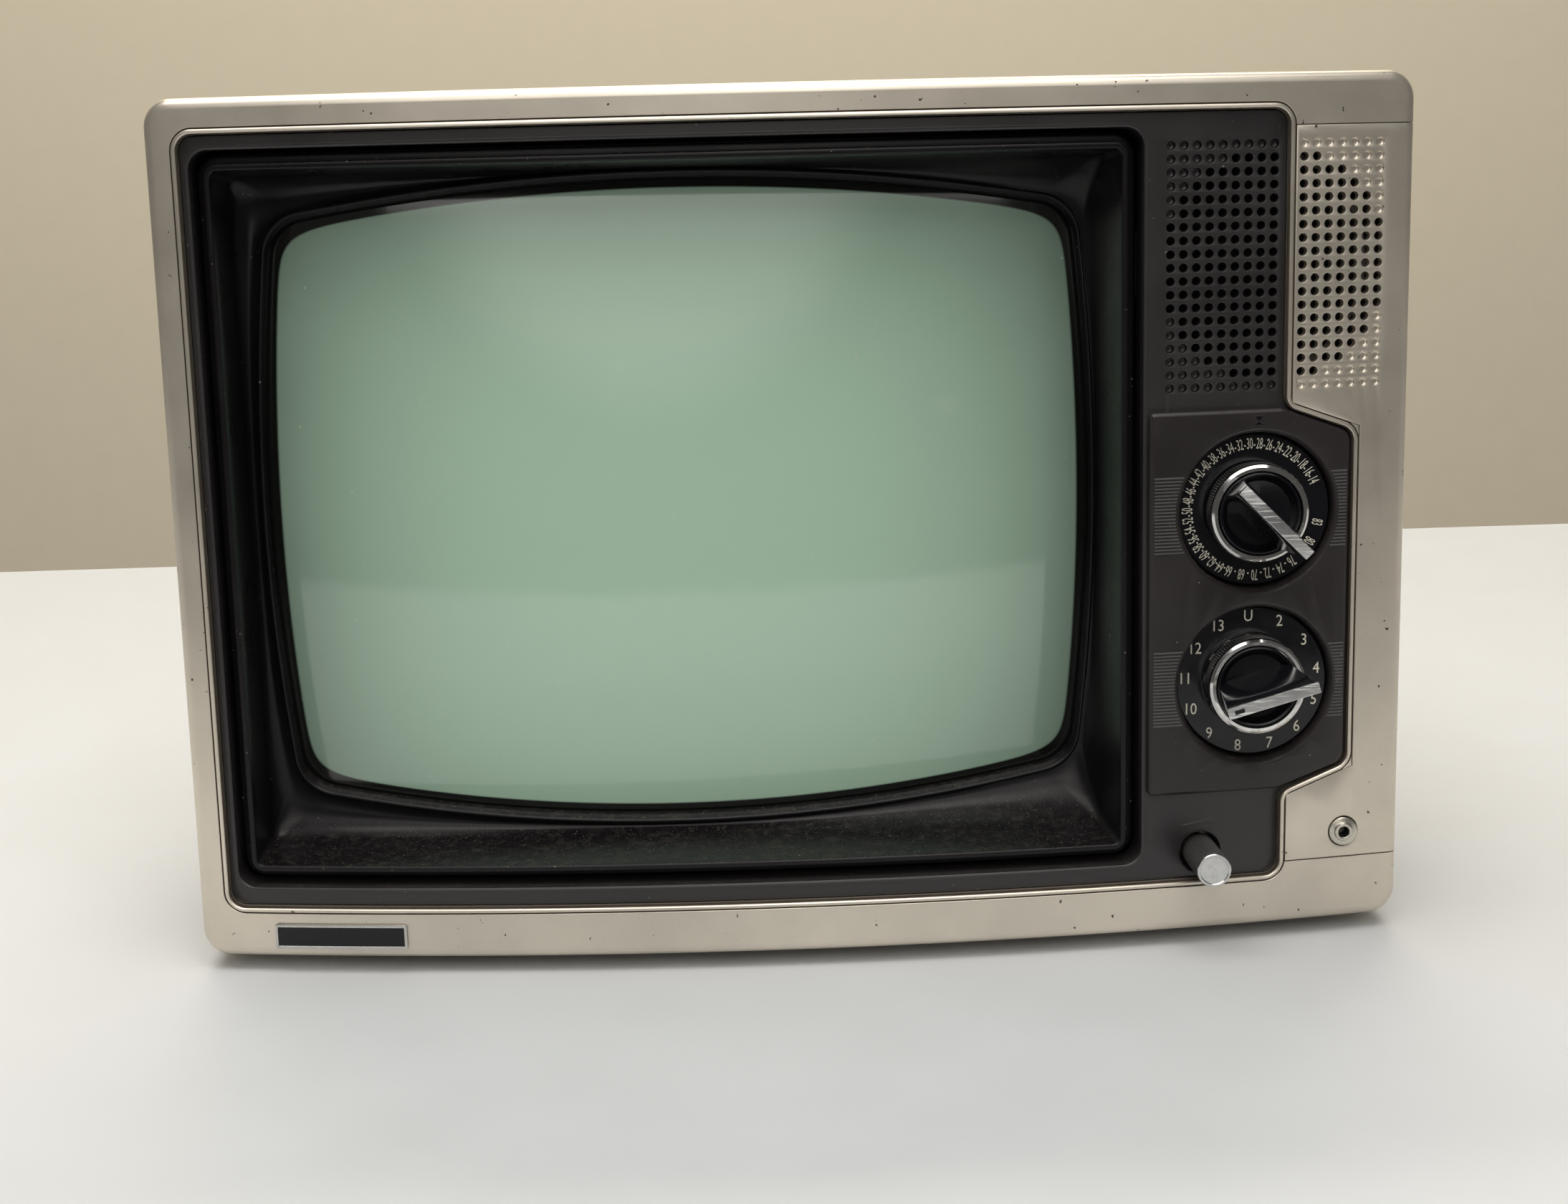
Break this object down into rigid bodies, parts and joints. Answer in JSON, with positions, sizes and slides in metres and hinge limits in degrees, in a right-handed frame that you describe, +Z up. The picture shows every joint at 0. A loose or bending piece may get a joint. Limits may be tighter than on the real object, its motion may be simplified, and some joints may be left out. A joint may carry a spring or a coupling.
{
  "type": "portable tube television",
  "caption": "Portable tube television: bowed silver cabinet, deep black screen surround, two rotary tuners, pull-on volume knob and folding antenna.",
  "frame": {"origin": "under the middle of the whole set's box, on the surface that the feet stand on", "axes": "+X to the viewer's right along the front, +Y from the screen towards the back, +Z up"},
  "size_m": [0.4, 0.3032, 0.283],
  "materials": {
    "silver_paint": "satin metallic champagne-silver paint on moulded plastic",
    "silver_trim": "satin",
    "black_plastic": "satin moulded",
    "gloss_black_plastic": "glossy moulded",
    "dark_grey_plastic": "fine-textured moulded",
    "chrome": "polished plating, slightly worn",
    "aluminium": "spun and brushed",
    "nickel": "bright nickel plating",
    "plated_steel": "zinc plated sheet",
    "tuner_shield": "dull pressed sheet",
    "zinc_screw": "zinc plated",
    "screen_glass": "smooth grey-green phosphor behind glass",
    "rubber": "matte",
    "copper_winding": "varnished copper wire",
    "circuit_board": "brown laminate",
    "speaker_paper": "felted paper"
  },
  "bodies": {
    "cabinet": {"front_frame": "silver_paint", "side_panel": "silver_paint", "front_mask": "black_plastic", "screen_bezel": "black_plastic", "tuner_plate": "black_plastic", "badge_plate": "silver_trim", "earphone_jack": "nickel", "vhf_dial": "gloss_black_plastic", "volume_control": "plated_steel", "tuner_bracket": "plated_steel", "vhf_tuner": "tuner_shield", "uhf_tuner": "tuner_shield", "picture_tube": "screen_glass", "tube_band": "plated_steel", "tube_screw_1": "zinc_screw", "tube_screw_2": "zinc_screw", "tube_screw_3": "zinc_screw", "tube_screw_4": "zinc_screw", "cover_screw_1": "zinc_screw", "cover_screw_2": "zinc_screw", "cover_screw_3": "zinc_screw", "cover_screw_4": "zinc_screw", "deflection_yoke": "copper_winding", "tube_socket": "dark_grey_plastic", "anode_cap": "rubber", "anode_lead": "rubber", "speaker_frame": "plated_steel", "speaker_cone": "speaker_paper", "main_board": "circuit_board", "power_transformer": "plated_steel", "flyback_transformer": "dark_grey_plastic", "rear_control_board": "circuit_board", "rear_cover": "dark_grey_plastic", "antenna_terminals": "circuit_board", "power_inlet": "dark_grey_plastic", "foot_1": "rubber", "foot_2": "rubber", "foot_3": "rubber", "foot_4": "rubber"},
    "uhf_tuning": {"uhf_dial": "gloss_black_plastic", "uhf_knob": "gloss_black_plastic", "uhf_knob_ring": "chrome", "uhf_knob_strip": "aluminium", "uhf_shaft": "plated_steel"},
    "vhf_selector": {"vhf_knob": "gloss_black_plastic", "vhf_knob_strip": "aluminium", "vhf_shaft": "plated_steel"},
    "vhf_fine_tuning": {"vhf_fine_ring": "chrome"},
    "power_slider": {"power_switch_slider": "dark_grey_plastic"},
    "volume": {"volume_knob": "dark_grey_plastic", "volume_knob_cap": "aluminium", "volume_shaft": "plated_steel"},
    "brightness": {"brightness_knob": "dark_grey_plastic"},
    "contrast": {"contrast_knob": "dark_grey_plastic"},
    "vertical_hold": {"vertical_hold_knob": "dark_grey_plastic"},
    "antenna_swivel_base": {"antenna_base": "dark_grey_plastic"},
    "antenna_outer_rod": {"antenna_rod_1": "chrome"},
    "antenna_middle_rod": {"antenna_rod_2": "chrome"},
    "antenna_inner_rod": {"antenna_rod_3": "chrome"}
  },
  "joints": [
    {"name": "uhf_tune", "type": "hinge", "parent": "cabinet", "child": "uhf_tuning", "pos_m": [0.149, -0.12135, 0.1445], "axis": [0, -1, 0], "range_deg": [-250, 65]},
    {"name": "vhf_select", "type": "hinge", "parent": "cabinet", "child": "vhf_selector", "pos_m": [0.149, -0.12135, 0.0875], "axis": [0, -1, 0], "continuous": true},
    {"name": "vhf_fine_tune", "type": "hinge", "parent": "cabinet", "child": "vhf_fine_tuning", "pos_m": [0.149, -0.12135, 0.0875], "axis": [0, -1, 0], "continuous": true},
    {"name": "power_pull", "type": "slide", "parent": "cabinet", "child": "power_slider", "axis": [0, -1, 0], "range_m": [0, 0.004]},
    {"name": "volume_turn", "type": "hinge", "parent": "power_slider", "child": "volume", "pos_m": [0.1315, -0.11885, 0.031], "axis": [0, 1, 0], "range_deg": [0, 300]},
    {"name": "brightness_turn", "type": "hinge", "parent": "cabinet", "child": "brightness", "pos_m": [-0.095, 0.14315, 0.049], "axis": [0, 1, 0], "range_deg": [-135, 135]},
    {"name": "contrast_turn", "type": "hinge", "parent": "cabinet", "child": "contrast", "pos_m": [-0.06, 0.14315, 0.049], "axis": [0, 1, 0], "range_deg": [-135, 135]},
    {"name": "vertical_hold_turn", "type": "hinge", "parent": "cabinet", "child": "vertical_hold", "pos_m": [-0.025, 0.14315, 0.049], "axis": [0, 1, 0], "range_deg": [-135, 135]},
    {"name": "antenna_swivel", "type": "hinge", "parent": "cabinet", "child": "antenna_swivel_base", "pos_m": [0.14, 0.11315, 0.254], "axis": [0, 0, 1], "range_deg": [-180, 0]},
    {"name": "antenna_tilt", "type": "hinge", "parent": "antenna_swivel_base", "child": "antenna_outer_rod", "pos_m": [0.14, 0.11315, 0.254], "axis": [0, 1, 0], "range_deg": [0, 110]},
    {"name": "antenna_extend_1", "type": "slide", "parent": "antenna_outer_rod", "child": "antenna_middle_rod", "axis": [-1, 0, 0], "range_m": [0, 0.24]},
    {"name": "antenna_extend_2", "type": "slide", "parent": "antenna_middle_rod", "child": "antenna_inner_rod", "axis": [-1, 0, 0], "range_m": [0, 0.24]}
  ]
}
